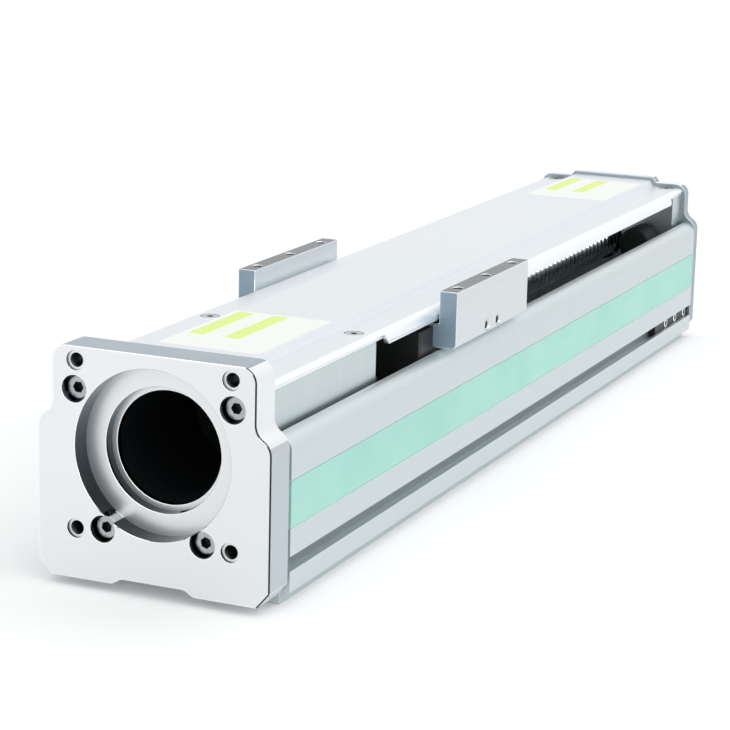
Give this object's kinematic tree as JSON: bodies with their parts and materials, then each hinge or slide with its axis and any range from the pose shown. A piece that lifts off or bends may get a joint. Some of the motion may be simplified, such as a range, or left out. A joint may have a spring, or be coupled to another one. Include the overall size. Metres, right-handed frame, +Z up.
{
  "type": "linear stage",
  "caption": "Screw-driven linear stage: a covered aluminium base with guide rails, a carriage with raised mounting edges and a flanged end plate for a motor.",
  "frame": {"origin": "middle of the footprint, on the face that the base stands on", "axes": "+X from the motor plate to the rear plate along the screw, +Z up, +Y to the far side"},
  "size_m": [0.415, 0.0786, 0.0715],
  "materials": {
    "aluminium_satin": "satin anodised, fine drawn lines along X",
    "aluminium_milled": "milled and anodised",
    "steel_ground": "ground",
    "steel_hard": "hardened and ground",
    "steel_bright": "plated",
    "steel_black": "black oxide",
    "strip_green": "satin",
    "rubber_black": "matt",
    "plastic_black": "moulded",
    "brass_plain": "turned"
  },
  "bodies": {
    "base": {"base_extrusion": "aluminium_satin", "housing_screws": "steel_bright", "front_housing": "aluminium_satin", "rear_housing": "aluminium_satin", "motor_flange": "aluminium_milled", "motor_flange_screws": "steel_bright", "rear_plate": "aluminium_satin", "rear_plate_screws": "steel_bright", "top_cover": "aluminium_satin", "cover_screws": "steel_black", "bearing_retainer": "steel_black", "slot_nut_bar": "steel_black", "slot_bar_screws": "steel_bright", "front_bearing_one_outer_ring": "steel_hard", "front_bearing_two_outer_ring": "steel_hard", "rear_bearing_outer_ring": "steel_hard", "guide_rail_near": "steel_hard", "guide_rail_far": "steel_hard", "side_strip_near": "strip_green", "side_strip_far": "strip_green", "front_bumpers": "rubber_black", "rear_bumpers": "rubber_black"},
    "carriage": {"carriage_block": "steel_ground", "carriage_balls": "steel_hard", "end_cap_front": "plastic_black", "end_cap_rear": "plastic_black", "end_cap_screws": "steel_bright", "end_seal_front": "rubber_black", "end_seal_rear": "rubber_black", "ball_nut": "steel_hard", "ball_nut_screws": "steel_bright", "grease_nipples": "brass_plain"},
    "screw": {"ball_screw": "steel_hard", "lock_nut": "steel_black", "retaining_ring": "steel_black", "front_bearing_one_inner_ring": "steel_hard", "front_bearing_one_balls": "steel_hard", "front_bearing_two_inner_ring": "steel_hard", "front_bearing_two_balls": "steel_hard", "rear_bearing_inner_ring": "steel_hard", "rear_bearing_balls": "steel_hard"}
  },
  "joints": [
    {"name": "screw_spin", "type": "hinge", "parent": "base", "child": "screw", "pos_m": [0, 0, 0.0425], "axis": [1, 0, 0], "range_deg": [-12492.1, 1188.1]},
    {"name": "carriage_slide", "type": "slide", "parent": "base", "child": "carriage", "axis": [1, 0, 0], "range_m": [-0.0165, 0.1735]}
  ],
  "couplings": [
    {"joint": "screw_spin", "follows": "carriage_slide", "rad_per_m": -1256.6}
  ]
}
